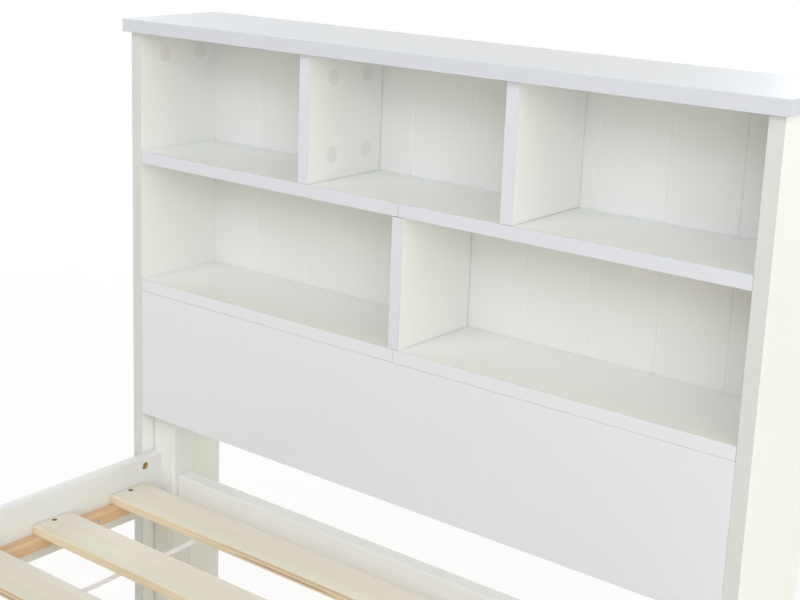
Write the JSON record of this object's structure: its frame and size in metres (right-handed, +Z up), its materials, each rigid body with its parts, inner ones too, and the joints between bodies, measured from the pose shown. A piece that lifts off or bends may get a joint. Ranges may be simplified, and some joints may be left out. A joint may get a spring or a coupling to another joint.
{
  "type": "bookcase headboard bed",
  "caption": "Twin bed frame with a bookcase headboard of open bays above a closed panel, low bolted side rails and a slatted base held by webbing.",
  "frame": {"origin": "on the floor, at the middle of the bed's bounding box", "axes": "+Z up, +Y towards the head of the bed, +X to the right of someone at the foot who faces the headboard"},
  "size_m": [1.096, 2.148, 1.016],
  "materials": {
    "white_board": "white satin faced board",
    "back_sheet": "white painted grooved sheet",
    "white_paint": "white satin paint on pine",
    "raw_pine": "sanded, unfinished",
    "ledger_pine": "planed, unfinished",
    "slat_ply": "sanded plywood, unfinished",
    "beech": "fluted, unfinished",
    "cam_zinc": "die-cast zinc",
    "zinc": "zinc-plated",
    "bolt_steel": "zinc-plated",
    "brass": "yellow passivated",
    "cover_paper": "self-adhesive disc, matt",
    "glide_plastic": "moulded, matt",
    "webbing": "flat polyester webbing"
  },
  "bodies": {
    "root": {"cap_board": "white_board", "side_panel_left": "white_board", "side_panel_right": "white_board", "mid_shelf_left": "white_board", "mid_shelf_right": "white_board", "lower_shelf_left": "white_board", "lower_shelf_right": "white_board", "upper_divider_left": "white_board", "upper_divider_right": "white_board", "lower_divider": "white_board", "front_panel": "white_board", "back_panel": "back_sheet", "head_post_left": "white_paint", "head_post_right": "white_paint", "foot_post_left": "white_paint", "foot_post_right": "white_paint", "head_cross_rail": "white_paint", "foot_rail": "white_paint", "side_rail_left": "white_paint", "side_rail_right": "white_paint", "shelf_seam_cleat": "raw_pine", "slat_ledger_left": "ledger_pine", "slat_ledger_right": "ledger_pine", "slat_01": "slat_ply", "slat_02": "slat_ply", "slat_03": "slat_ply", "slat_04": "slat_ply", "slat_05": "slat_ply", "slat_06": "slat_ply", "slat_07": "slat_ply", "slat_08": "slat_ply", "slat_09": "slat_ply", "slat_10": "slat_ply", "slat_11": "slat_ply", "slat_12": "slat_ply", "wood_dowels": "beech", "cross_rail_dowels": "beech", "cam_locks": "cam_zinc", "cam_bolts": "zinc", "shelf_seam_bolts": "zinc", "cleat_screws": "zinc", "post_screws": "zinc", "slat_screws": "zinc", "ledger_screws": "zinc", "back_panel_screws": "zinc", "strap_staples": "zinc", "side_rail_bolts": "bolt_steel", "foot_rail_bolts": "bolt_steel", "barrel_nuts": "brass", "cam_cover_discs": "cover_paper", "floor_glides": "glide_plastic", "slat_strap_left": "webbing", "slat_strap_right": "webbing"}
  },
  "joints": []
}
